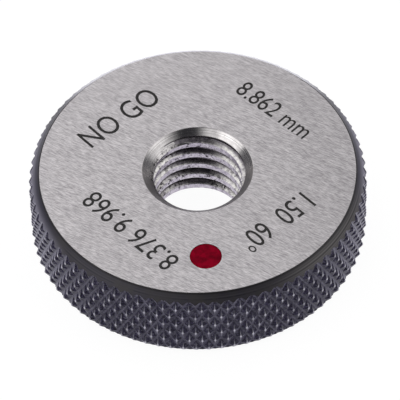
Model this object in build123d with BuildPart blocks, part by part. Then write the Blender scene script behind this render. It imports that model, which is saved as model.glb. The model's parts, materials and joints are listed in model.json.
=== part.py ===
"""NO GO thread ring gauge, M10 x 1.5: a turned, knurled and ground steel ring with a red marker.

The origin is the centre of the lower ground face and the bore runs along +Z. The red marker
of a NO GO gauge lies in the upper face, on the -Y side.
"""
import math
import os

from build123d import *

# ---- driving dimensions, in millimetres ----
outer_diameter = 32.0          # over the points of the knurl
thickness = 8.0                # between the two ground faces
edge_chamfer = 1.0             # 45 degree chamfer of the marked rim
lower_chamfer = 0.8            # and of the rim below

thread_major = 10.0            # M10
thread_pitch = 1.5             # coarse series
countersink_over_thread = 0.5  # a 90 degree countersink opens this much wider than the thread
lower_countersink_depth = 0.36  # a 90 degree deburring cut on the side below

knurl_count = 83               # diamonds around the rim
knurl_row_pitch = 1.11         # from one row of diamonds to the next, along the axis
knurl_depth = 0.4              # from the points down to the grooves
knurl_rise = -0.3              # middle of the rows over the middle of the rim, as rolled

marker_diameter = 3.0          # round recess that holds the red lacquer
marker_recess = 0.3            # depth of that recess
marker_to_axis = 10.65         # from the ring's axis to the middle of the marker
lacquer_below_face = 0.05      # the lacquer has sunk this far as it dried
lacquer_side_gap = 0.01        # between the lacquer and the recess's wall

# ---- sizes that follow from them ----
outer_radius = outer_diameter / 2
thread_minor = thread_major - 1.0825 * thread_pitch
bore_radius = thread_minor / 2
countersink_radius = (thread_major + countersink_over_thread) / 2
countersink_depth = countersink_radius - bore_radius

root_radius = outer_radius - knurl_depth
row_count = 2 * (math.ceil(thickness / 2 / knurl_row_pitch) + 1)
lowest_row = thickness / 2 + knurl_rise - (row_count - 1) / 2 * knurl_row_pitch

# the rims are turned past the knurl's points, so that the chamfers cut the knurl clean
stock_margin = 0.5
stock_radius = outer_radius + stock_margin
stock_edge = edge_chamfer + stock_margin
stock_lower_edge = lower_chamfer + stock_margin

lacquer_thickness = marker_recess - lacquer_below_face
recess_floor = thickness - marker_recess


def knurl_point(row, step):
    """One corner of the knurl: points and grooves alternate along each row, and row by row."""
    radius = outer_radius if (row + step) % 2 == 0 else root_radius
    angle = math.pi * step / knurl_count
    height = lowest_row + row * knurl_row_pitch
    return (radius * math.cos(angle), radius * math.sin(angle), height)


def knurl_faces():
    """The flanks of every raised diamond, and the two flat ends that close the skin."""
    faces = []
    for row in range(row_count - 1):
        for step in range(2 * knurl_count):
            if (row + step) % 2:
                continue
            # the diamond's two upper flanks, and the two lower flanks of the diamond above
            point = knurl_point(row, step)
            above = knurl_point(row + 1, step)
            right = knurl_point(row, step + 1)
            left = knurl_point(row, step - 1)
            next_point = knurl_point(row + 1, step + 1)
            last_point = knurl_point(row + 1, step - 1)
            for corners in (
                (point, right, above),
                (point, above, left),
                (next_point, above, right),
                (last_point, left, above),
            ):
                faces.append(Face(Wire.make_polygon(corners, close=True)))
    for row in (0, row_count - 1):
        rim = [knurl_point(row, step) for step in range(2 * knurl_count)]
        faces.append(Face(Wire.make_polygon(rim, close=True)))
    return faces


# ---- gauge ring: turned blank, knurled rim, blind recess for the marker ----
knurl_body = Solid(Shell(knurl_faces()))

with BuildPart() as gauge_ring:
    with BuildSketch(Plane.XZ):
        with BuildLine():
            Polyline(
                (bore_radius, lower_countersink_depth),
                (bore_radius + lower_countersink_depth, 0),
                (outer_radius - lower_chamfer, 0),
                (stock_radius, stock_lower_edge),
                (stock_radius, thickness - stock_edge),
                (outer_radius - edge_chamfer, thickness),
                (countersink_radius, thickness),
                (bore_radius, thickness - countersink_depth),
                close=True,
            )
        make_face()
    revolve(axis=Axis.Z)
    add(knurl_body, mode=Mode.INTERSECT)
    with BuildSketch(Plane.XY.offset(thickness)):
        with Locations((0, -marker_to_axis)):
            Circle(marker_diameter / 2)
    extrude(amount=-marker_recess, mode=Mode.SUBTRACT)

# ---- red marker: lacquer filled into the recess, a little below the ground face ----
with BuildPart() as red_marker:
    with BuildSketch(Plane.XY.offset(recess_floor)):
        with Locations((0, -marker_to_axis)):
            Circle(marker_diameter / 2 - lacquer_side_gap)
    extrude(amount=lacquer_thickness)

os.makedirs("parts", exist_ok=True)

gauge_ring.part.label = "gauge_ring"
export_step(gauge_ring.part, "parts/gauge_ring.step")

red_marker.part.label = "red_marker"
export_step(red_marker.part, "parts/red_marker.step")
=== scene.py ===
"""Solid NO GO thread ring gauge: turned, threaded, knurled and blackened, then ground on both faces.

The ring is modelled in millimetres as a machinist would make it, and scaled to metres at the end.
"""

import json
import math

import bpy
from mathutils import Matrix, Vector


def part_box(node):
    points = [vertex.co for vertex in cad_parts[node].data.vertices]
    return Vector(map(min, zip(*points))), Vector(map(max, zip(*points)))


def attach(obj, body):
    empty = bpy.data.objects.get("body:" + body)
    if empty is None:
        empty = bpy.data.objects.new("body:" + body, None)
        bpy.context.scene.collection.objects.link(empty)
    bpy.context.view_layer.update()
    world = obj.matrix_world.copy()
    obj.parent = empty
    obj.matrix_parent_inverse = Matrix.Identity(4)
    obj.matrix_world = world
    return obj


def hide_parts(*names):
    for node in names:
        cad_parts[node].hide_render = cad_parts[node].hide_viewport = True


bl_info = {
    "name": "Thread Ring Gauge",
    "version": (1, 0, 0),
    "blender": (4, 5, 0),
    "location": "3D View > Sidebar > Gauge",
    "description": "Models a solid thread ring gauge, its red marker and a plain studio",
    "category": "Add Mesh",
}

MM = 0.001  # metres in a millimetre
FRAME_PIXELS = 400  # width and height of the image

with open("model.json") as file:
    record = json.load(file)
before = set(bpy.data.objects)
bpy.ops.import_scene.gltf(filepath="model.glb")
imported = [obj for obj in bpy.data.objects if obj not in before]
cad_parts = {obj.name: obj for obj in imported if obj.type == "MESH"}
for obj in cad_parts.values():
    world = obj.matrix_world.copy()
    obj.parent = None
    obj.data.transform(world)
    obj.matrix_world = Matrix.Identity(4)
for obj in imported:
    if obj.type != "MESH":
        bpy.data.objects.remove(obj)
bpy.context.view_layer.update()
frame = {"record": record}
ring_low, ring_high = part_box("gauge_ring")
marker_low, marker_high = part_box("red_marker")
bore_mount = next(m for m in frame["record"]["mounts"] if m["name"] == "test_thread")

# sizes that the frame gives, in millimetres
RIM_RADIUS = ring_high.x / MM
THICKNESS = ring_high.z / MM
BORE_RADIUS = bore_mount["dims"]["r_mm"]
BORE_MIDDLE = bore_mount["pos_m"][2] / MM
BORE_LENGTH = bore_mount["dims"]["length_mm"]
COUNTERSINK_DEPTH = THICKNESS - (BORE_MIDDLE + BORE_LENGTH / 2)
LOWER_COUNTERSINK = BORE_MIDDLE - BORE_LENGTH / 2
MARKER_PLACE = (marker_low + marker_high) / 2 / MM
MARKER_RADIUS = (marker_high.x - marker_low.x) / 2 / MM
MARKER_FLOOR = marker_low.z / MM
MARKER_TOP = marker_high.z / MM


# ---- settings

def size_property(name, description, millimetres):
    """Property for one size of the ring."""
    return bpy.props.FloatProperty(
        name=name, description=description + ", in mm", default=millimetres, precision=3)


def colour_property(name, description, colour):
    """Property for one colour of a finish."""
    return bpy.props.FloatVectorProperty(
        name=name, description=description, default=(*colour, 1), size=4, min=0, max=1,
        subtype="COLOR")


class GaugeRingSettings(bpy.types.PropertyGroup):
    """Sizes of the ring in millimetres, over those that the frame gives."""

    edge_chamfer: size_property("Edge chamfer", "45 degree chamfer of the marked rim", 1.0)
    lower_chamfer: size_property("Lower chamfer", "45 degree chamfer of the rim below", 0.8)
    edge_break: size_property(
        "Edge break", "Worn corner between a ground face and a chamfer", 0.05)
    thread_pitch: size_property("Thread pitch", "From one thread to the next", 1.5)
    thread_root: size_property("Thread root radius", "Radius at the bottom of the thread", 4.68)
    thread_crest: size_property("Thread crest", "Width of the flat on top of each thread", 0.55)
    thread_start: size_property(
        "Thread start", "Height of a thread's crest at the right of the bore", 0.0)
    knurl_count: bpy.props.IntProperty(
        name="Knurl count", description="Diamonds around the rim", default=83)
    knurl_row_pitch: size_property("Knurl row pitch", "From one row of diamonds to the next", 1.11)
    knurl_depth: size_property("Knurl depth", "From the points down to the grooves", 0.4)
    knurl_rise: size_property("Knurl rise", "Height of the rows over the middle of the rim", -0.3)
    knurl_turn: bpy.props.FloatProperty(
        name="Knurl turn", description="Turn of the knurl round the rim",
        default=math.radians(0.43), subtype="ANGLE")
    point_blunting: size_property(
        "Point blunting", "How much of each knurl point is worn flat", 0.03)
    groove_filling: size_property(
        "Groove filling", "Height of the flat floor in each knurl groove", 0.04)
    mark_depth: size_property("Mark depth", "Depth of the engraved marks", 0.02)
    steps: bpy.props.IntProperty(
        name="Steps around", description="Corners of each turned circle", default=256)


class GaugeFinishSettings(bpy.types.PropertyGroup):
    """Colours of the ring's finishes and of its lacquer."""

    ground_dark: colour_property(
        "Ground steel, lines", "Bottom of the grinding lines", (0.20, 0.19, 0.198))
    ground_light: colour_property(
        "Ground steel, ridges", "Top of the grinding lines", (0.78, 0.75, 0.76))
    turned_dark: colour_property(
        "Countersink, lines", "Bottom of the tool lines", (0.53, 0.505, 0.50))
    turned_light: colour_property(
        "Countersink, ridges", "Top of the tool lines", (0.77, 0.745, 0.74))
    crest_dark: colour_property(
        "Thread crest, dull", "Dull patches of the thread's crest", (0.42, 0.38, 0.465))
    crest_light: colour_property(
        "Thread crest, bright", "Bright patches of the thread's crest", (0.58, 0.54, 0.615))
    flank_dark: colour_property(
        "Thread flank, dull", "Dull patches of the thread's flank", (0.68, 0.65, 0.66))
    flank_light: colour_property(
        "Thread flank, bright", "Bright patches of the thread's flank", (0.95, 0.93, 0.88))
    # the thread's painted shade, over the oil and oxide in its root
    thread_oil_and_shade: colour_property(
        "Thread root", "Oil and oxide in the thread's root", (0.052, 0.038, 0.064))
    speck: colour_property("Specks", "Specks of oxide in the thread", (0.035, 0.030, 0.035))
    chamfer_dark: colour_property(
        "Chamfer, dark", "Thickest oxide of the chamfer", (0.030, 0.028, 0.037))
    chamfer_light: colour_property(
        "Chamfer, light", "Thinnest oxide of the chamfer", (0.060, 0.055, 0.068))
    knurl_dark: colour_property(
        "Knurl, dark", "Thickest oxide of the knurl", (0.003, 0.002, 0.011))
    knurl_light: colour_property(
        "Knurl, light", "Thinnest oxide of the knurl", (0.048, 0.040, 0.090))
    knurl_groove: colour_property(
        "Knurl grooves", "Floor of the knurl's grooves", (0.22, 0.21, 0.28))
    knurl_point: colour_property(
        "Knurl points", "Steel rubbed bare at the knurl's points", (0.74, 0.72, 0.82))
    mark: colour_property("Marks", "Burnt floor of the engraved marks", (0.034, 0.031, 0.030))
    lacquer_dark: colour_property(
        "Lacquer, thick", "Where the red lacquer is thick", (0.14, 0.0, 0.008))
    lacquer_light: colour_property(
        "Lacquer, thin", "Where the red lacquer is thin", (0.30, 0.0, 0.016))


class GaugeStageSettings(bpy.types.PropertyGroup):
    """Camera's place and lens."""

    distance: bpy.props.FloatProperty(
        name="Distance", description="From the camera to what it looks at",
        default=0.39974, unit="LENGTH")
    elevation: bpy.props.FloatProperty(
        name="Elevation", description="Height of the camera above the horizon",
        default=math.radians(49.879), subtype="ANGLE")
    azimuth: bpy.props.FloatProperty(
        name="Azimuth", description="Turn of the camera round the ring",
        default=math.radians(-3.0), subtype="ANGLE")
    roll: bpy.props.FloatProperty(
        name="Roll", description="Tilt of the camera about its line of sight",
        default=math.radians(-1.47), subtype="ANGLE")
    focal_pixels: bpy.props.FloatProperty(
        name="Focal length", description="Focal length in pixels of the image", default=4238.1)
    aim_right: bpy.props.FloatProperty(
        name="Aim right", description="Aim point right of the face's centre",
        default=0.23 * MM, unit="LENGTH")
    aim_up: bpy.props.FloatProperty(
        name="Aim up", description="Aim point above the face's centre",
        default=-2.91 * MM, unit="LENGTH")


# ---- modelling helpers

def deselect():
    """Leave edit mode with nothing selected."""
    if bpy.context.object and bpy.context.object.mode != "OBJECT":
        bpy.ops.object.mode_set(mode="OBJECT")
    bpy.ops.object.select_all(action="DESELECT")


def activate(piece):
    """Select this piece alone and make it the active one."""
    deselect()
    piece.select_set(True)
    bpy.context.view_layer.objects.active = piece


def edit(piece):
    """Open a piece in edit mode with everything selected."""
    activate(piece)
    bpy.ops.object.mode_set(mode="EDIT")
    bpy.ops.mesh.select_mode(type="VERT")
    bpy.ops.mesh.select_all(action="SELECT")


def pick(piece, kind, test):
    """Select the vertices, edges or faces of a piece in edit mode for which the test holds."""
    bpy.ops.mesh.select_mode(type=kind)
    bpy.ops.mesh.select_all(action="DESELECT")
    bpy.ops.object.mode_set(mode="OBJECT")
    mesh = piece.data
    items = {"VERT": mesh.vertices, "EDGE": mesh.edges, "FACE": mesh.polygons}[kind]
    for item in items:
        item.select = bool(test(item, mesh))
    bpy.ops.object.mode_set(mode="EDIT")


def named(name):
    """Name the object that was just added, and its mesh."""
    piece = bpy.context.object
    piece.name = name
    piece.data.name = name
    return piece


def apply_place():
    """Put the active object's place, turn and scale into its mesh."""
    bpy.ops.object.transform_apply(location=True, rotation=True, scale=True)


def apply_modifier(piece, kind, **settings):
    """Add a modifier with these settings and apply it."""
    activate(piece)
    modifier = piece.modifiers.new(kind.title(), kind)
    for key, value in settings.items():
        setattr(modifier, key, value)
    bpy.ops.object.modifier_apply(modifier=modifier.name)


def cut(piece, tool, operation):
    """Combine a piece with a tool by a boolean, and throw the tool away."""
    apply_modifier(piece, "BOOLEAN", object=tool, operation=operation, solver="EXACT")
    bpy.data.objects.remove(tool)


def scale_about_axis(factor):
    """Scale the selection towards or away from the ring's axis."""
    bpy.ops.transform.resize(value=(factor, factor, 1), center_override=(0, 0, 0))


def close_edit():
    """Turn all faces outwards and leave edit mode."""
    bpy.ops.mesh.select_all(action="SELECT")
    bpy.ops.mesh.normals_make_consistent(inside=False)
    bpy.ops.object.mode_set(mode="OBJECT")


def weld(piece, distance):
    """Merge the vertices that the cuts left closer together than this."""
    edit(piece)
    bpy.ops.mesh.remove_doubles(threshold=distance)
    bpy.ops.mesh.dissolve_degenerate(threshold=distance / 10)
    bpy.ops.object.mode_set(mode="OBJECT")


def to_metres(piece):
    """Turn a piece modelled in millimetres into metres, with its place in its mesh."""
    activate(piece)
    piece.scale = (MM, MM, MM)
    apply_place()
    edit(piece)
    close_edit()


# ---- ring

# in millimetres
TOUCH = 0.001  # what is closer than this is at the same place
HAIR = 0.0001  # gap closed between the turns of the thread
OVERSHOOT = 1  # how far a cutter reaches past the ring's faces
PIT_OVERSHOOT = 0.3  # how far a countersink's pit goes on past the bore's wall
ROOT_ROUNDING = 0.04  # rounding of the corners at the bottom of the thread
POCKET_GAP = 0.01  # between the lacquer and the wall of its recess
MARK_CUTTER = 0.2  # half the height of the cutters for the marks
MARK_WELD = 0.0005  # gap closed in the outlines of the marks
STROKE_GROWTH = 0.006  # widens the strokes of the marks

FLANK_ANGLE = math.radians(30)  # between a thread's flank and a plane across the bore
CAP_HEIGHT = 0.73  # height of a capital letter in text of size 1
QUAD = 4  # corners of a side face
THREAD_STEPS = 128  # corners of the thread round the bore
MARKER_STEPS = 96  # corners of the marker's circle
CURVE_STEPS = 4  # points along each curve of the marks

MARKS = (
    # text, character height, narrowing, place on the face, turn
    ("NO GO", 2.45, 0.80, (-6.9, 7.0), math.radians(38)),
    ("8.862 mm", 2.0, 0.82, (7.8, 6.7), math.radians(-48)),
    ("8.376 9.968", 2.2, 0.83, (-6.7, -6.9), math.radians(129)),
    ("1.50  60°", 2.35, 0.76, (6.9, -6.9), math.radians(-141)),
)


def turned_blank(sizes):
    """Disc with chamfered rims and a countersunk pit in each face, still solid in the middle."""
    bpy.ops.mesh.primitive_cylinder_add(
        vertices=sizes.steps, radius=RIM_RADIUS, depth=THICKNESS, end_fill_type="NGON",
        location=(0, 0, THICKNESS / 2))
    blank = named("gauge_ring_body")
    apply_place()
    edit(blank)

    # both rims: the chamfer, then a small break of its corner with the ground face
    for height, chamfer in ((THICKNESS, sizes.edge_chamfer), (0, sizes.lower_chamfer)):
        for offset, segments in ((chamfer, 1), (sizes.edge_break, 2)):
            pick(blank, "EDGE", lambda e, m: all(
                abs(m.vertices[v].co.z - height) < TOUCH for v in e.vertices))
            bpy.ops.mesh.bevel(offset=offset, offset_type="OFFSET", segments=segments)

    # both faces: in to the countersink's mouth, then down its cone past the bore's wall
    mouth_break = sizes.edge_break / 2
    for height, sink, down in ((THICKNESS, COUNTERSINK_DEPTH, -1), (0, LOWER_COUNTERSINK, 1)):
        mouth_radius = BORE_RADIUS + sink
        pit_depth = sink + PIT_OVERSHOOT
        pick(blank, "FACE", lambda f, m: (
            len(f.vertices) > QUAD and abs(f.center.z - height) < TOUCH))
        corner = next(v.co for v in blank.data.vertices if abs(v.co.z - height) < TOUCH)
        bpy.ops.mesh.extrude_region_move()
        scale_about_axis((mouth_radius + mouth_break) / corner.xy.length)
        for radius, depth in ((mouth_radius - mouth_break, mouth_break),
                              (mouth_radius - pit_depth, pit_depth)):
            bpy.ops.mesh.extrude_region_move()
            bpy.ops.object.mode_set(mode="OBJECT")
            now = max(v.co.xy.length for v in blank.data.vertices if v.select)
            level = next(v.co.z for v in blank.data.vertices if v.select)
            bpy.ops.object.mode_set(mode="EDIT")
            scale_about_axis(radius / now)
            bpy.ops.transform.translate(value=(0, 0, height + down * depth - level))
    bpy.ops.object.mode_set(mode="OBJECT")
    return blank


def knurled_skin(sizes):
    """Closed drum whose side is raised diamonds: every other corner of each row is drawn in."""
    corners = 2 * sizes.knurl_count
    rows = 2 * (math.ceil(THICKNESS / 2 / sizes.knurl_row_pitch) + 1)
    lowest = THICKNESS / 2 - (rows - 1) / 2 * sizes.knurl_row_pitch + sizes.knurl_rise
    point_radius = RIM_RADIUS + sizes.point_blunting
    groove_radius = RIM_RADIUS - sizes.knurl_depth
    bpy.ops.mesh.primitive_circle_add(
        vertices=corners, radius=point_radius, fill_type="NGON", location=(0, 0, lowest),
        rotation=(0, 0, math.pi / corners + sizes.knurl_turn))
    skin = named("knurled_skin")
    apply_place()
    edit(skin)
    for _ in range(rows - 1):
        bpy.ops.mesh.extrude_region_move(
            TRANSFORM_OT_translate={"value": (0, 0, sizes.knurl_row_pitch)})

    def in_groove(vertex, mesh):
        row = round((vertex.co.z - lowest) / sizes.knurl_row_pitch)
        turn = math.atan2(vertex.co.y, vertex.co.x) - sizes.knurl_turn
        step = round(turn / (math.pi / sizes.knurl_count))
        return (row + step) % 2 == 1

    pick(skin, "VERT", in_groove)
    scale_about_axis(groove_radius / point_radius)
    pick(skin, "FACE", lambda f, m: len(f.vertices) == QUAD)
    bpy.ops.mesh.quads_convert_to_tris(quad_method="SHORTEST_DIAGONAL")
    close_edit()

    # the floor of the grooves is the drum that was left between them
    bpy.ops.mesh.primitive_cylinder_add(
        vertices=sizes.steps, radius=groove_radius + sizes.groove_filling,
        depth=THICKNESS + OVERSHOOT, end_fill_type="NGON", location=(0, 0, THICKNESS / 2))
    cut(skin, named("groove_floor"), "UNION")
    return skin


def threaded_rod(sizes):
    """Rod with the thread on its outside, to cut the thread in the ring."""
    pitch = sizes.thread_pitch
    flank = (sizes.thread_root - BORE_RADIUS) * math.tan(FLANK_ANGLE)
    root_start = sizes.thread_crest + flank
    root_end = pitch - flank
    inside_root = sizes.thread_root - ROOT_ROUNDING
    half_rounding = ROOT_ROUNDING / 2
    bpy.ops.mesh.primitive_plane_add(size=1, location=(0, 0, 0))
    rod = named("threaded_rod")
    edit(rod)
    bpy.ops.mesh.merge(type="CENTER")

    # one turn's outline, drawn by extruding a single point along it
    outline = (
        (BORE_RADIUS, 0),
        (BORE_RADIUS, sizes.thread_crest),
        (inside_root, root_start - half_rounding),
        (sizes.thread_root, root_start + half_rounding),
        (sizes.thread_root, root_end - half_rounding),
        (inside_root, root_end + half_rounding),
        (BORE_RADIUS, pitch),
    )
    turns_below = 3
    spare_turns = 5
    below = turns_below * pitch - sizes.thread_start
    place = Vector((0, 0, 0))
    for index, (radius, height) in enumerate(outline):
        target = Vector((radius, 0, height - below))
        if index == 0:
            bpy.ops.transform.translate(value=target)
        else:
            bpy.ops.mesh.extrude_region_move(TRANSFORM_OT_translate={"value": target - place})
        place = target
    bpy.ops.object.mode_set(mode="OBJECT")
    turns = math.ceil(THICKNESS / pitch) + spare_turns
    apply_modifier(
        rod, "SCREW", axis="Z", angle=2 * math.pi, screw_offset=pitch, iterations=turns,
        steps=THREAD_STEPS, render_steps=THREAD_STEPS, use_merge_vertices=True,
        merge_threshold=HAIR)

    # cut square and closed past both faces of the ring
    edit(rod)
    for height, side in ((THICKNESS + OVERSHOOT, 1), (-OVERSHOOT, -1)):
        bpy.ops.mesh.select_all(action="SELECT")
        bpy.ops.mesh.remove_doubles(threshold=HAIR)
        bpy.ops.mesh.bisect(
            plane_co=(0, 0, height), plane_no=(0, 0, side), use_fill=True, clear_outer=True)
    close_edit()
    return rod


def marker_disc(name, radius, height):
    """Upright disc of this height that stands on the floor of the marker's recess."""
    bpy.ops.mesh.primitive_cylinder_add(
        vertices=MARKER_STEPS, radius=radius, depth=height,
        location=(MARKER_PLACE.x, MARKER_PLACE.y, MARKER_FLOOR + height / 2))
    disc = named(name)
    apply_place()
    return disc


def engraved_mark(text, height, narrowing, place, turn, sizes):
    """Cutter for one line of thin upright characters, centred at a place on the marked face."""
    bpy.ops.object.text_add(location=(0, 0, 0))
    mark = bpy.context.object
    mark.data.body = text
    mark.data.size = height / CAP_HEIGHT
    mark.data.align_x = "CENTER"
    mark.data.align_y = "CENTER"
    mark.data.offset = STROKE_GROWTH
    mark.data.extrude = MARK_CUTTER
    mark.data.resolution_u = CURVE_STEPS
    bpy.ops.object.convert(target="MESH")
    mark = named("engraved_mark")
    mark.scale = (narrowing, 1, 1)
    apply_place()
    mark.location = (*place, THICKNESS + MARK_CUTTER - sizes.mark_depth)
    mark.rotation_euler = (0, 0, turn)
    apply_place()
    edit(mark)
    bpy.ops.mesh.remove_doubles(threshold=MARK_WELD)
    close_edit()
    return mark


# ---- node helpers

def add_node(tree, kind, inputs=None, **settings):
    """Add a shader node; each input gets a value or a link from another node's socket."""
    new = tree.nodes.new("ShaderNode" + kind)
    for key, value in settings.items():
        setattr(new, key, value)
    for key, value in (inputs or {}).items():
        if isinstance(value, bpy.types.NodeSocket):
            tree.links.new(value, new.inputs[key])
        else:
            new.inputs[key].default_value = value
    return new


def feed(node, label, value):
    """Link a value to this input of a node."""
    node.id_data.links.new(value, node.inputs[label])


def math_node(tree, operation, first, second=0.0):
    """Result of one sum on one or two values."""
    return add_node(tree, "Math", {0: first, 1: second}, operation=operation).outputs[0]


def multiply(tree, first, second):
    """Product of two values."""
    return math_node(tree, "MULTIPLY", first, second)


def ease(tree, value, start, end, low=0.0, high=1.0):
    """Value eased from low to high as it goes from start to end."""
    ranged = add_node(tree, "MapRange", {
        "Value": value, "From Min": start, "From Max": end, "To Min": low, "To Max": high},
        interpolation_type="SMOOTHSTEP")
    return ranged.outputs["Result"]


def zone(tree, radius, base, span, low=0.0, high=1.0):
    """Value eased from low to high over a span of distances outside a base radius."""
    start, end = span
    return ease(tree, radius, base + start, base + end, low, high)


def mix(tree, factor, first, second, blend="MIX"):
    """Colour that goes from the first to the second as the factor goes from 0 to 1."""
    mixed = add_node(tree, "Mix", {"Factor": factor, 6: first, 7: second},
                     data_type="RGBA", blend_type=blend)
    return mixed.outputs[2]


def new_group(name, inputs, outputs):
    """Empty shader node group: number inputs with their defaults, and number outputs."""
    group = bpy.data.node_groups.new(name, "ShaderNodeTree")
    for label, value in inputs.items():
        socket = group.interface.new_socket(label, in_out="INPUT", socket_type="NodeSocketFloat")
        socket.default_value = value
    for label in outputs:
        group.interface.new_socket(label, in_out="OUTPUT", socket_type="NodeSocketFloat")
    return group, group.nodes.new("NodeGroupInput"), group.nodes.new("NodeGroupOutput")


def place_group(tree, name, **inputs):
    """Place a shared group in a node tree with its own values; gives its outputs."""
    new = tree.nodes.new("ShaderNodeGroup")
    new.node_tree = bpy.data.node_groups[name]
    for key, value in inputs.items():
        new.inputs[key].default_value = value
    return new.outputs


# ---- shared effects

SPECK_LEVEL = 0.75  # noise level over which a speck begins, when the share is 0
SPECK_SPREAD = 0.5  # how much a share of 1 lowers that level
SPECK_SHARPNESS = 12.0  # how fast a speck grows whole over that level

# spans in millimetres
RIDGE_CORE = 0.015  # half the width over which the ridge at a point is whole
RIDGE_ZONE = (-0.30, -0.08)  # outside the rim, where the ridge grows whole
POINT_ZONE = (-0.08, -0.03)  # outside the rim, where the point grows bare
GROOVE_ZONE = (0.05, 0.01)  # outside the grooves' floor, where the groove grows grey


def build_grain_group():
    """Fine grain drawn out along one direction, as a surface grinder leaves it."""
    group, given, result = new_group(
        "straight_grain", {"Angle": 0.0, "Length": 0.8, "Width": 0.1}, ("Grain",))
    coords = add_node(group, "TexCoord")
    turned = add_node(group, "VectorRotate", {
        "Vector": coords.outputs["Object"], "Angle": given.outputs["Angle"]},
        rotation_type="Z_AXIS")
    along = math_node(group, "DIVIDE", 1 / MM, given.outputs["Length"])
    across = math_node(group, "DIVIDE", 1 / MM, given.outputs["Width"])
    stretch = add_node(group, "CombineXYZ", {"X": along, "Y": across, "Z": along})
    scaled = add_node(group, "VectorMath", {0: turned.outputs[0], 1: stretch.outputs[0]},
                      operation="MULTIPLY")
    noise = add_node(group, "TexNoise", {
        "Vector": scaled.outputs[0], "Scale": 1.0, "Detail": 4.0, "Roughness": 0.65})
    feed(result, "Grain", noise.outputs["Fac"])


def build_turning_group():
    """Tool lines round the axis, and the place on the ring in millimetres."""
    group, given, result = new_group(
        "turning_lines", {"Pitch": 0.08}, ("Line", "Radius", "Behind", "Aside"))
    coords = add_node(group, "TexCoord")
    split = add_node(group, "SeparateXYZ", {"Vector": coords.outputs["Object"]})
    flat = add_node(group, "CombineXYZ", {"X": split.outputs["X"], "Y": split.outputs["Y"]})
    radius = add_node(group, "VectorMath", {0: flat.outputs[0]}, operation="LENGTH")
    in_mm = multiply(group, radius.outputs["Value"], 1 / MM)

    # half of the height is added, so that an upright wall has lines too
    height = multiply(group, split.outputs["Z"], 0.5 / MM)
    step = math_node(group, "DIVIDE", math_node(group, "ADD", in_mm, height),
                     given.outputs["Pitch"])
    noise = add_node(group, "TexNoise", {"W": step, "Scale": 1.0, "Detail": 2.0},
                     noise_dimensions="1D")
    feed(result, "Line", noise.outputs["Fac"])
    feed(result, "Radius", in_mm)
    for axis, label in (("Y", "Behind"), ("X", "Aside")):
        feed(result, label, multiply(group, split.outputs[axis], 1 / MM))


def build_blotch_group():
    """Soft cloudy patches."""
    group, given, result = new_group("blotches", {"Size": 2.0}, ("Blotch",))
    coords = add_node(group, "TexCoord")
    scale = math_node(group, "DIVIDE", 1 / MM, given.outputs["Size"])
    noise = add_node(group, "TexNoise", {
        "Vector": coords.outputs["Object"], "Scale": scale, "Detail": 3.0, "Roughness": 0.6})
    feed(result, "Blotch", noise.outputs["Fac"])


def build_speck_group():
    """Small sharp specks; a larger share gives more of them."""
    group, given, result = new_group("specks", {"Size": 0.15, "Share": 0.3}, ("Speck",))
    coords = add_node(group, "TexCoord")
    scale = math_node(group, "DIVIDE", 1 / MM, given.outputs["Size"])
    noise = add_node(group, "TexNoise", {
        "Vector": coords.outputs["Object"], "Scale": scale, "Detail": 4.0, "Roughness": 0.75})
    lowered = multiply(group, given.outputs["Share"], SPECK_SPREAD)
    level = math_node(group, "SUBTRACT", SPECK_LEVEL, lowered)
    over = math_node(group, "SUBTRACT", noise.outputs["Fac"], level)
    feed(result, "Speck", multiply(group, over, SPECK_SHARPNESS))


def build_knurl_group():
    """Masks that follow the knurl: its points, the ridge over each point and its grooves."""
    sizes = bpy.context.scene.gauge_ring
    group, given, result = new_group(
        "knurl_wear", {"Ridge Width": 0.06}, ("Point", "Ridge", "Groove"))
    lines = place_group(group, "turning_lines", Pitch=0.06)
    radius = lines["Radius"]
    coords = add_node(group, "TexCoord")
    split = add_node(group, "SeparateXYZ", {"Vector": coords.outputs["Object"]})
    turn = math_node(group, "SUBTRACT", math_node(
        group, "ARCTAN2", split.outputs["Y"], split.outputs["X"]), sizes.knurl_turn)
    step = multiply(group, turn, sizes.knurl_count / math.pi)
    aside = math_node(group, "ABSOLUTE", math_node(
        group, "SUBTRACT", step, math_node(group, "ROUND", step)))
    aside_mm = multiply(group, aside, math.pi * RIM_RADIUS / sizes.knurl_count)
    near = ease(group, aside_mm, RIDGE_CORE, given.outputs["Ridge Width"], low=1.0, high=0.0)
    high = zone(group, radius, RIM_RADIUS, RIDGE_ZONE)
    floor_radius = RIM_RADIUS - sizes.knurl_depth + sizes.groove_filling
    feed(result, "Point", zone(group, radius, RIM_RADIUS, POINT_ZONE))
    feed(result, "Ridge", multiply(group, near, high))
    feed(result, "Groove", zone(group, radius, floor_radius, GROOVE_ZONE))


def prepare_groups():
    """Build the node groups, unless an earlier piece has."""
    if "knurl_wear" not in bpy.data.node_groups:
        build_grain_group()
        build_turning_group()
        build_blotch_group()
        build_speck_group()
        build_knurl_group()


# ---- materials

GRIND_ANGLE = math.radians(34)  # of the lines left by the surface grinder
SHEEN_ROUGHNESS = 0.3
KNURL_GLOSS = 0.25  # specular level of the knurl's oxide
LACQUER_GLOSS = 0.02  # and of the dried lacquer

# noise levels
SPREAD = (0.3, 0.7)  # over which a soft pattern goes from one of its values to the other
CLEAR = (0.35, 0.65)  # and a clearer one
LARGE = (0.38, 0.62)  # and the large patches of the knurl

# millimetres from the axis, towards the back and towards the right
# where painted light makes the ground face's lines fainter, and painted shade makes it duller
PAINTED_FAINT_BACK = (4.0, 12.0)
PAINTED_SHADE_RIGHT = (3.0, 14.0)

# millimetres outside the bore's wall
CONE_STAIN = (0.5, 0.1)
CREST_EDGE = (0.01, 0.05)
# where painted shade darkens the thread's roots, and its flanks at the back
ROOT_OIL_AND_SHADE = (0.18, 0.45)
PAINTED_FLANK_SHADE = (0.02, 0.17)

# millimetres outside the inner edge of the chamfer
SIDE_MARGIN = 0.15
DARK_EDGE = (0.16, 0.08)
BRIGHT_CORNER = (0.08, 0.04)

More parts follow.
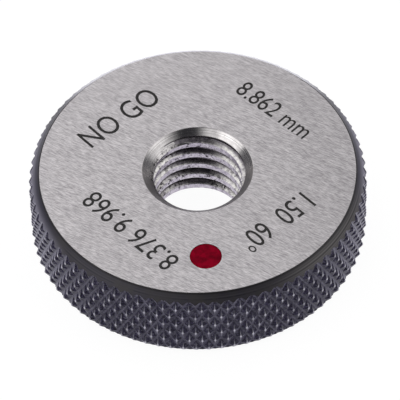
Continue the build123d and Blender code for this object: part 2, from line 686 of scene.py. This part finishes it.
# places round the ring, where 1 is as far to that side as the surface goes
BRIGHT_BACK = (-0.8, 0.55)
# where painted shade darkens the thread's flanks
PAINTED_SHADE_BACK = (0.70, 0.98)
# where painted light makes the chamfer greyer
PAINTED_LIGHT_SIDES = (0.78, 0.98)
PAINTED_HIGHLIGHT_BACK = (0.60, 0.90)
# where the painted highlight lies on the chamfer's corner
RUBBED_SPOT = (0.80, 0.98)
RUBBED_RIGHT = 0.8  # the rubbed spot lies this far to the right
RUBBED_FRONT = 0.6  # and this far to the front

# colours that a finish adds to those in its settings
BAND_DARK = (0.34, 0.32, 0.33, 1)
BAND_LIGHT = (0.63, 0.60, 0.61, 1)
CLOUD_DARK = (0.40, 0.375, 0.39, 1)
CLOUD_LIGHT = (0.57, 0.54, 0.55, 1)
# grey of the painted light at the back of the ground face
PAINTED_EVEN_GREY = (0.51, 0.485, 0.495, 1)
WARM_OXIDE = (0.052, 0.048, 0.050, 1)
# colours of the painted light on the chamfer's sides
PAINTED_SIDE_DARK = (0.044, 0.040, 0.064, 1)
PAINTED_SIDE_LIGHT = (0.31, 0.295, 0.37, 1)
RUBBED_DARK = (0.055, 0.052, 0.053, 1)
RUBBED_LIGHT = (0.15, 0.14, 0.14, 1)
THICK_OXIDE = (0.018, 0.016, 0.018, 1)
# colour of the painted highlight on the chamfer's corner
PAINTED_HIGHLIGHT_STEEL = (0.92, 0.90, 0.98, 1)
# colour of the painted sheen on the chamfer
PAINTED_SHEEN_PALE = (0.93, 0.91, 1.0, 1)
KNURL_FLECK = (0.26, 0.25, 0.33, 1)
KNURL_RIDGE = (0.48, 0.47, 0.54, 1)
# colour of the painted sheen on the knurl
KNURL_PAINTED_SHEEN = (0.48, 0.46, 0.60, 1)
TURNED_SHEEN = (0.82, 0.80, 1.0, 1)
CHAMFER_SHEEN = (0.80, 0.77, 1.0, 1)
KNURL_SHEEN = (0.74, 0.70, 1.0, 1)


def new_material(name, metallic, roughness=None):
    """Principled material; what varies over the surface is linked in afterwards."""
    material = bpy.data.materials.new(name)
    material.use_nodes = True
    tree = material.node_tree
    tree.nodes.clear()
    shader = add_node(tree, "BsdfPrincipled", {"Metallic": metallic})
    if roughness is not None:
        shader.inputs["Roughness"].default_value = roughness
    add_node(tree, "OutputMaterial", {"Surface": shader.outputs["BSDF"]})
    return material, tree, shader


def roughen(tree, shader, height, depth_mm):
    """Feed a height pattern to the shader as a bump of this depth."""
    bump = add_node(tree, "Bump", {"Height": height, "Distance": depth_mm * MM, "Strength": 1.0})
    feed(shader, "Normal", bump.outputs["Normal"])


def give_sheen(shader, weight, tint):
    """Thin oil film that lightens the surface where it is seen at a glancing angle."""
    shader.inputs["Sheen Weight"].default_value = weight
    shader.inputs["Sheen Roughness"].default_value = SHEEN_ROUGHNESS
    shader.inputs["Sheen Tint"].default_value = tint


def glancing(tree, start, end, most):
    """Mask for a painted sheen that stands in for the oil film's sheen: it grows towards the
    outline, where the black, under its oil, is seen at a glancing angle.
    """
    weight = add_node(tree, "LayerWeight", {"Blend": 0.5})
    return ease(tree, weight.outputs["Facing"], start, end, high=most)


def ground_steel(colours):
    """Satin grey face with short slanting grinding lines and faint blotches."""
    material, tree, shader = new_material("ground_steel", metallic=1.0)
    grain = place_group(tree, "straight_grain", Angle=GRIND_ANGLE, Length=0.6, Width=0.06)
    coarse = place_group(tree, "straight_grain", Angle=GRIND_ANGLE, Length=1.8, Width=0.2)
    blotch = place_group(tree, "blotches", Size=1.5)
    fine = ease(tree, grain["Grain"], *SPREAD)
    wide = ease(tree, coarse["Grain"], *SPREAD)
    mottle = ease(tree, blotch["Blotch"], *CLEAR)
    streaks = mix(tree, fine, colours.ground_dark, colours.ground_light)
    bands = mix(tree, wide, BAND_DARK, BAND_LIGHT)
    clouds = mix(tree, mottle, CLOUD_DARK, CLOUD_LIGHT)
    colour = mix(tree, 0.25, streaks, bands)
    colour = mix(tree, 0.2, colour, clouds)

    # painted light makes the grinding lines fainter towards the back, and painted shade makes the
    # face duller to the right
    lines = place_group(tree, "turning_lines")
    faint = ease(tree, lines["Behind"], *PAINTED_FAINT_BACK, high=0.25)
    colour = mix(tree, faint, colour, PAINTED_EVEN_GREY)
    dull = ease(tree, lines["Aside"], *PAINTED_SHADE_RIGHT, low=1.0, high=0.9)
    feed(shader, "Base Color", mix(tree, 1.0, colour, dull, "MULTIPLY"))
    feed(shader, "Roughness", ease(tree, grain["Grain"], *SPREAD, low=0.5, high=0.38))
    roughen(tree, shader, grain["Grain"], depth_mm=0.004)
    return material


def turned_steel(colours):
    """Bright countersink with fine concentric tool lines, duller towards the front."""
    material, tree, shader = new_material("turned_steel", metallic=1.0)
    give_sheen(shader, weight=0.15, tint=TURNED_SHEEN)
    lines = place_group(tree, "turning_lines", Pitch=0.09)
    blotch = place_group(tree, "blotches", Size=0.6)
    fine = ease(tree, lines["Line"], *SPREAD)
    colour = mix(tree, fine, colours.turned_dark, colours.turned_light)
    mottle = ease(tree, blotch["Blotch"], *SPREAD, low=0.8)
    shade = mix(tree, 1.0, colour, mottle, "MULTIPLY")

    # specks of oxide where the cone meets the thread
    specks = place_group(tree, "specks", Size=0.3, Share=0.5)
    inner = zone(tree, lines["Radius"], BORE_RADIUS, CONE_STAIN)
    stain = multiply(tree, inner, ease(tree, specks["Speck"], 0.0, 1.0, high=0.85))
    feed(shader, "Base Color", mix(tree, stain, shade, colours.speck))
    behind = math_node(tree, "DIVIDE", lines["Behind"], lines["Radius"])
    feed(shader, "Roughness", ease(tree, behind, *BRIGHT_BACK, low=0.42, high=0.18))
    roughen(tree, shader, lines["Line"], depth_mm=0.0015)
    return material


def thread_steel(colours):
    """Lapped thread: lilac crests, paler flanks, dark in the roots, with specks of oxide."""
    material, tree, shader = new_material("thread_steel", metallic=1.0)
    blotch = place_group(tree, "blotches", Size=0.4)
    patches = place_group(tree, "blotches", Size=2.2)
    specks = place_group(tree, "specks", Size=0.3, Share=0.5)
    lines = place_group(tree, "turning_lines", Pitch=0.06)
    radius = lines["Radius"]
    mottle = ease(tree, blotch["Blotch"], *CLEAR)
    crest = mix(tree, mottle, colours.crest_dark, colours.crest_light)
    flank = mix(tree, mottle, colours.flank_dark, colours.flank_light)
    clean = mix(tree, zone(tree, radius, BORE_RADIUS, CREST_EDGE), crest, flank)

    # painted shade darkens the roots, over the oil that lies there, and at the back of the bore
    # painted shade darkens the flanks too
    root_oil_and_shade = zone(tree, radius, BORE_RADIUS, ROOT_OIL_AND_SHADE, high=0.8)
    behind = math_node(tree, "DIVIDE", lines["Behind"], radius)
    painted_back_shade = multiply(tree, ease(tree, behind, *PAINTED_SHADE_BACK),
                     zone(tree, radius, BORE_RADIUS, PAINTED_FLANK_SHADE, high=0.82))
    shaded = mix(tree, math_node(tree, "MAXIMUM", root_oil_and_shade, painted_back_shade), clean, colours.thread_oil_and_shade)
    speck = specks["Speck"]
    patchy = ease(tree, patches["Blotch"], 0.42, 0.58, low=0.15)
    spotted = multiply(tree, ease(tree, speck, 0.0, 1.0), patchy)
    feed(shader, "Base Color", mix(tree, spotted, shaded, colours.speck))
    feed(shader, "Roughness", ease(tree, speck, 0.0, 1.0, low=0.26, high=0.5))
    roughen(tree, shader, blotch["Blotch"], depth_mm=0.012)
    return material


def blackened_chamfer(colours):
    """Black oxide over fine turning lines, thickest next to the ground face."""
    material, tree, shader = new_material("blackened_chamfer", metallic=0.5)
    give_sheen(shader, weight=0.5, tint=CHAMFER_SHEEN)
    lines = place_group(tree, "turning_lines", Pitch=0.05)
    blotch = place_group(tree, "blotches", Size=1.6)
    radius = lines["Radius"]
    fine = ease(tree, lines["Line"], *SPREAD)
    mottle = ease(tree, blotch["Blotch"], 0.35, 0.7)
    oxide = mix(tree, fine, colours.chamfer_dark, colours.chamfer_light)
    colour = mix(tree, mottle, oxide, WARM_OXIDE)

    # painted light makes it greyer on both sides, and palest there at the outer edge
    right = math_node(tree, "DIVIDE", lines["Aside"], RIM_RADIUS)
    back = math_node(tree, "DIVIDE", lines["Behind"], RIM_RADIUS)
    inner = RIM_RADIUS - bpy.context.scene.gauge_ring.edge_chamfer
    outwards = ease(tree, radius, inner + SIDE_MARGIN, RIM_RADIUS - SIDE_MARGIN)
    painted_side_light = ease(tree, math_node(tree, "ABSOLUTE", right), *PAINTED_LIGHT_SIDES)
    side = mix(tree, outwards, PAINTED_SIDE_DARK, PAINTED_SIDE_LIGHT)
    colour = mix(tree, painted_side_light, colour, side)

    # rubbed bare by handling at the front right
    handled = math_node(tree, "SUBTRACT", multiply(tree, right, RUBBED_RIGHT),
                        multiply(tree, back, RUBBED_FRONT))
    rubbed = mix(tree, fine, RUBBED_DARK, RUBBED_LIGHT)
    colour = mix(tree, ease(tree, handled, *RUBBED_SPOT), colour, rubbed)
    colour = mix(tree, zone(tree, radius, inner, DARK_EDGE, high=0.8), colour, THICK_OXIDE)

    # a painted highlight makes the corner with the ground face bright at the back
    worn = multiply(tree, zone(tree, radius, inner, BRIGHT_CORNER), ease(tree, back, *PAINTED_HIGHLIGHT_BACK))
    colour = mix(tree, worn, colour, PAINTED_HIGHLIGHT_STEEL)

    # a painted sheen makes it paler where it is seen at a glancing angle, and it is glossier there
    palest = 0.95
    painted_sheen = glancing(tree, 0.74, 0.90, palest)
    feed(shader, "Base Color", mix(tree, painted_sheen, colour, PAINTED_SHEEN_PALE))
    dull = ease(tree, lines["Line"], *SPREAD, low=0.35, high=0.5)
    feed(shader, "Roughness", ease(tree, painted_sheen, 0.0, palest, low=dull, high=0.2))
    roughen(tree, shader, lines["Line"], depth_mm=0.004)
    return material


def blackened_knurl(colours):
    """Bluish black oxide, rubbed bare at the knurl's points and greyer in its grooves."""
    material, tree, shader = new_material("blackened_knurl", metallic=0.4)
    shader.inputs["Specular IOR Level"].default_value = KNURL_GLOSS
    give_sheen(shader, weight=0.2, tint=KNURL_SHEEN)
    wear = place_group(tree, "knurl_wear")
    blotch = place_group(tree, "blotches", Size=0.16)
    large = place_group(tree, "blotches", Size=1.3)
    flecks = place_group(tree, "specks", Size=0.25, Share=0.42)
    mottle = ease(tree, blotch["Blotch"], 0.36, 0.68)
    colour = mix(tree, mottle, colours.knurl_dark, colours.knurl_light)
    fleck = ease(tree, flecks["Speck"], 0.0, 1.0, high=0.5)
    colour = mix(tree, fleck, colour, KNURL_FLECK)

    # grooves, ridges and points are worn in patches
    patchy = ease(tree, large["Blotch"], *LARGE, low=0.35)
    broken = multiply(tree, patchy, ease(tree, blotch["Blotch"], 0.35, 0.6, low=0.25, high=0.6))
    groove = multiply(tree, wear["Groove"], broken)
    colour = mix(tree, groove, colour, colours.knurl_groove)
    ridge = multiply(tree, wear["Ridge"], multiply(tree, patchy, 0.7))
    colour = mix(tree, ridge, colour, KNURL_RIDGE)
    point = multiply(tree, wear["Point"], ease(tree, large["Blotch"], *LARGE, low=0.6))
    colour = mix(tree, point, colour, colours.knurl_point)
    # a painted sheen makes the oxide paler where it is seen at a glancing angle
    colour = mix(tree, glancing(tree, 0.62, 0.95, 0.65), colour, KNURL_PAINTED_SHEEN)
    feed(shader, "Base Color", colour)
    feed(shader, "Roughness", ease(tree, blotch["Blotch"], *SPREAD, low=0.3, high=0.5))
    roughen(tree, shader, blotch["Blotch"], depth_mm=0.07)
    return material


def mark_black(colours):
    """Dark burnt surface of the engraved marks."""
    material, tree, shader = new_material("mark_black", metallic=0.3, roughness=0.7)
    blotch = place_group(tree, "blotches", Size=0.4)
    burnt = ease(tree, blotch["Blotch"], *SPREAD, low=0.6)
    feed(shader, "Base Color", mix(tree, 1.0, colours.mark, burnt, "MULTIPLY"))
    return material


def red_lacquer(colours):
    """Dark red lacquer, unevenly thick."""
    material, tree, shader = new_material("red_lacquer", metallic=0.0, roughness=0.4)
    shader.inputs["Specular IOR Level"].default_value = LACQUER_GLOSS
    blotch = place_group(tree, "blotches", Size=0.8)
    mottle = ease(tree, blotch["Blotch"], *SPREAD)
    colour = mix(tree, mottle, colours.lacquer_dark, colours.lacquer_light)
    feed(shader, "Base Color", colour)
    roughen(tree, shader, blotch["Blotch"], depth_mm=0.02)
    return material


# ---- pieces

SMOOTH_STEEL = math.radians(12)  # corners of the ring that are sharper than this stay crisp
SMOOTH_LACQUER = math.radians(30)
RIM_MARGIN = 0.06  # the rim's finishes begin this far inside the ground face's edge, in mm
MARK_MARGIN = 0.1  # the marks lie at least this far outside the countersink's mouth
CONE_TOLERANCE = 0.03  # how far a face's middle may be off the countersink's cone

# how far up or down a face's normal points, from 0 to 1
FLAT = 0.99
CHAMFER_SLOPE = 0.6
CONE_SLOPE = 0.5


def finish_ring(ring, sizes):
    """Give each surface its finish: ground, turned, threaded, blackened or marked."""
    ring.data.materials.clear()
    finishes = (ground_steel, turned_steel, thread_steel, blackened_chamfer, blackened_knurl,
                mark_black)
    for finish in finishes:
        ring.data.materials.append(finish(bpy.context.scene.gauge_finish))
    ground, turned, thread, chamfer, knurl, mark = range(len(finishes))
    face_radius = RIM_RADIUS - sizes.edge_chamfer
    for face in ring.data.polygons:
        radius = face.center.xy.length
        height = face.center.z
        slope = abs(face.normal.z)
        upper = height > THICKNESS / 2
        under = THICKNESS - height if upper else height
        mouth_radius = BORE_RADIUS + (COUNTERSINK_DEPTH if upper else LOWER_COUNTERSINK)
        cone_radius = mouth_radius - under
        if under < TOUCH and slope > FLAT:
            face.material_index = ground
        elif radius > face_radius - RIM_MARGIN:
            face.material_index = chamfer if slope > CHAMFER_SLOPE else knurl
        elif radius > mouth_radius + MARK_MARGIN:
            face.material_index = mark
        elif abs(radius - cone_radius) < CONE_TOLERANCE and slope > CONE_SLOPE:
            face.material_index = turned
        else:
            face.material_index = thread
    activate(ring)
    bpy.ops.object.shade_smooth_by_angle(angle=SMOOTH_STEEL)
    for face in ring.data.polygons:
        if face.material_index == ground:
            face.use_smooth = False


class GAUGE_OT_build_ring(bpy.types.Operator):
    """Model the knurled and threaded ring with its engraved marks"""

    bl_idname = "gauge.build_ring"
    bl_label = "Build Ring"

    def execute(self, context):
        deselect()
        prepare_groups()
        sizes = context.scene.gauge_ring
        ring = turned_blank(sizes)
        for mark in MARKS:
            cut(ring, engraved_mark(*mark, sizes), "DIFFERENCE")
        pocket = marker_disc(
            "marker_pocket", MARKER_RADIUS + POCKET_GAP, THICKNESS + OVERSHOOT - MARKER_FLOOR)
        cut(ring, pocket, "DIFFERENCE")
        cut(ring, knurled_skin(sizes), "INTERSECT")
        cut(ring, threaded_rod(sizes), "DIFFERENCE")
        weld(ring, TOUCH)
        finish_ring(ring, sizes)
        to_metres(ring)
        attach(ring, "root")
        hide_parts("gauge_ring")
        return {"FINISHED"}


class GAUGE_OT_build_marker(bpy.types.Operator):
    """Model the red lacquer in its recess"""

    bl_idname = "gauge.build_marker"
    bl_label = "Build Marker"

    def execute(self, context):
        deselect()
        prepare_groups()
        marker = marker_disc("red_marker_lacquer", MARKER_RADIUS, MARKER_TOP - MARKER_FLOOR)
        marker.data.materials.append(red_lacquer(context.scene.gauge_finish))
        activate(marker)
        bpy.ops.object.shade_smooth_by_angle(angle=SMOOTH_LACQUER)
        to_metres(marker)
        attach(marker, "root")
        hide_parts("red_marker")
        return {"FINISHED"}


# ---- stage

SENSOR_WIDTH = 36  # mm
CLIP_NEAR = 0.01  # metres from the camera
CLIP_FAR = 10

FLOOR_SIZE = 4  # metres
FLOOR_GAP = 0.02 * MM  # keeps the floor clear of the ring's lower face
FLOOR_LIT = (0.8, 0.8, 0.8, 1)  # colour that sends light up to the ring
FLOOR_SEEN = (0.1, 0.1, 0.1, 1)  # colour that shows the shadow
FLOOR_GLOW = (0.95, 0.95, 0.95, 1)  # and the white that it lies on
BLACK = (0, 0, 0, 1)
WHITE = (1, 1, 1, 1)

TENT_WHITE = (0.88, 0.88, 0.89, 1)
TENT_DIM = (0.10, 0.10, 0.11, 1)
TENT_DARK = (0.035, 0.035, 0.04, 1)

# directions from the ring to the tent, each part from -1 to 1
OPENING_MIDDLE = 0.68  # how far right the opening's middle is at the horizon
OPENING_LEAN = 0.77  # and how much less straight overhead
OPENING_SIDES = (0.54, 0.20)  # how far from its middle it fades in
OPENING_FRONT = (0.05, 0.25)  # and how far forward
LOW_FRONT = (0.1, 0.5)  # how far forward the low part goes from dim to dark
WALL_FOOT = (0.23, 0.30)  # how high the white wall fades in
SKIRT_SIDES = (-0.3, 0.3)  # from left to right, where its foot comes down
SKIRT_RISE = 0.10  # by this much

LAMPS = (
    # name, place in metres, width and height of the softbox, brightness of its face
    ("left_softbox", (-0.52, -0.14, 0.34), 0.50, 0.30, 0.7),
    ("right_softbox", (0.52, -0.12, 0.36), 0.30, 0.30, 0.3),
    ("back_softbox", (-0.22, 0.40, 0.48), 0.50, 0.40, 0.15),
    ("near_left_softbox", (-0.06, 0.17, 0.18), 0.06, 0.06, 1.5),
)


def add_camera(scene, stage):
    """Camera that looks down at the marked face through a long lens."""
    bpy.ops.object.camera_add()
    camera = bpy.context.object
    camera.name = "camera"
    camera.data.sensor_width = SENSOR_WIDTH
    camera.data.lens = stage.focal_pixels * SENSOR_WIDTH / FRAME_PIXELS
    camera.data.clip_start = CLIP_NEAR
    camera.data.clip_end = CLIP_FAR
    turn = (Matrix.Rotation(stage.azimuth, 4, "Z")
            @ Matrix.Rotation(math.pi / 2 - stage.elevation, 4, "X")
            @ Matrix.Rotation(stage.roll, 4, "Z"))
    face_centre = Vector((0, 0, THICKNESS * MM))
    offset = turn @ Vector((stage.aim_right, stage.aim_up, stage.distance))
    camera.matrix_world = Matrix.Translation(face_centre + offset) @ turn
    scene.camera = camera


def add_floor():
    """White floor that keeps the ring's shadow and is clear when seen from below."""
    bpy.ops.mesh.primitive_plane_add(size=FLOOR_SIZE, location=(0, 0, 0))
    floor = named("floor")
    edit(floor)
    bpy.ops.transform.translate(value=(0, 0, -FLOOR_GAP))
    bpy.ops.object.mode_set(mode="OBJECT")
    material, tree, shader = new_material("floor_white", metallic=0.0, roughness=0.9)
    shader.inputs["Specular IOR Level"].default_value = 0
    shader.inputs["Emission Strength"].default_value = 1
    path = add_node(tree, "LightPath")
    seen = math_node(tree, "MAXIMUM", path.outputs["Is Camera Ray"], path.outputs["Is Glossy Ray"])
    feed(shader, "Emission Color", mix(tree, seen, BLACK, FLOOR_GLOW))
    feed(shader, "Base Color", mix(tree, seen, FLOOR_LIT, FLOOR_SEEN))
    side = add_node(tree, "NewGeometry")
    feed(shader, "Alpha", math_node(tree, "SUBTRACT", 1.0, side.outputs["Backfacing"]))
    floor.data.materials.append(material)


def add_world(scene):
    """Light tent over the bench: open and dark round the camera, dim low down at the sides."""
    world = bpy.data.worlds.new("light_tent")
    world.use_nodes = True
    tree = world.node_tree
    background = tree.nodes["Background"]
    coords = add_node(tree, "TexCoord")
    split = add_node(tree, "SeparateXYZ", {"Vector": coords.outputs["Generated"]})
    right = split.outputs["X"]
    height = split.outputs["Z"]
    forward = multiply(tree, split.outputs["Y"], -1)

    # the opening leans to the right as it comes down
    middle = math_node(tree, "SUBTRACT", OPENING_MIDDLE, multiply(tree, height, OPENING_LEAN))
    aside = math_node(tree, "ABSOLUTE", math_node(tree, "SUBTRACT", right, middle))
    opening = multiply(tree, ease(tree, aside, *OPENING_SIDES),
                       ease(tree, forward, *OPENING_FRONT))
    low = mix(tree, ease(tree, forward, *LOW_FRONT), TENT_DIM, TENT_DARK)
    skirt = ease(tree, right, *SKIRT_SIDES, low=SKIRT_RISE, high=0.0)
    rise = ease(tree, math_node(tree, "SUBTRACT", height, skirt), *WALL_FOOT)
    walls = mix(tree, rise, low, TENT_WHITE)
    tent = mix(tree, opening, walls, TENT_DARK)
    path = add_node(tree, "LightPath")
    colour = mix(tree, path.outputs["Is Camera Ray"], tent, WHITE)
    feed(background, "Color", colour)
    scene.world = world


def add_lamps():
    """Softboxes that face the ring, with their power set by how bright their faces are."""
    for name, place, width, height, brightness in LAMPS:
        bpy.ops.object.light_add(type="AREA", location=place)
        lamp = bpy.context.object
        lamp.name = name
        lamp.data.shape = "RECTANGLE"
        lamp.data.size = width
        lamp.data.size_y = height
        lamp.data.energy = brightness * math.pi * width * height
        lamp.rotation_mode = "QUATERNION"
        lamp.rotation_quaternion = Vector(place).to_track_quat("Z", "Y")


class GAUGE_OT_build_stage(bpy.types.Operator):
    """Set up the camera, the lamps, the world and a plain white floor"""

    bl_idname = "gauge.build_stage"
    bl_label = "Build Stage"

    def execute(self, context):
        deselect()
        add_camera(context.scene, context.scene.gauge_stage)
        add_floor()
        add_world(context.scene)
        add_lamps()
        context.scene.view_settings.view_transform = "Standard"
        return {"FINISHED"}


# ---- add-on

class GAUGE_PT_panel(bpy.types.Panel):
    """Lists the ring gauge's operators, sizes and colours"""

    bl_idname = "GAUGE_PT_panel"
    bl_label = "Thread Ring Gauge"
    bl_space_type = "VIEW_3D"
    bl_region_type = "UI"
    bl_category = "Gauge"

    def draw(self, context):
        layout = self.layout
        for operator in OPERATORS:
            layout.operator(operator.bl_idname)
        scene = context.scene
        for settings in (scene.gauge_ring, scene.gauge_finish, scene.gauge_stage):
            for key in settings.bl_rna.properties.keys():
                if key not in ("rna_type", "name"):
                    layout.prop(settings, key)


OPERATORS = (GAUGE_OT_build_ring, GAUGE_OT_build_marker, GAUGE_OT_build_stage)
SETTINGS = (GaugeRingSettings, GaugeFinishSettings, GaugeStageSettings)
CLASSES = (*SETTINGS, *OPERATORS, GAUGE_PT_panel)


def register():
    for cls in CLASSES:
        bpy.utils.register_class(cls)
    bpy.types.Scene.gauge_ring = bpy.props.PointerProperty(type=GaugeRingSettings)
    bpy.types.Scene.gauge_finish = bpy.props.PointerProperty(type=GaugeFinishSettings)
    bpy.types.Scene.gauge_stage = bpy.props.PointerProperty(type=GaugeStageSettings)


def unregister():
    del bpy.types.Scene.gauge_stage
    del bpy.types.Scene.gauge_finish
    del bpy.types.Scene.gauge_ring
    for cls in reversed(CLASSES):
        bpy.utils.unregister_class(cls)


def main():
    """Register the add-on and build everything."""
    register()
    bpy.ops.gauge.build_ring()
    bpy.ops.gauge.build_marker()
    bpy.ops.gauge.build_stage()


if __name__ == "__main__":
    main()
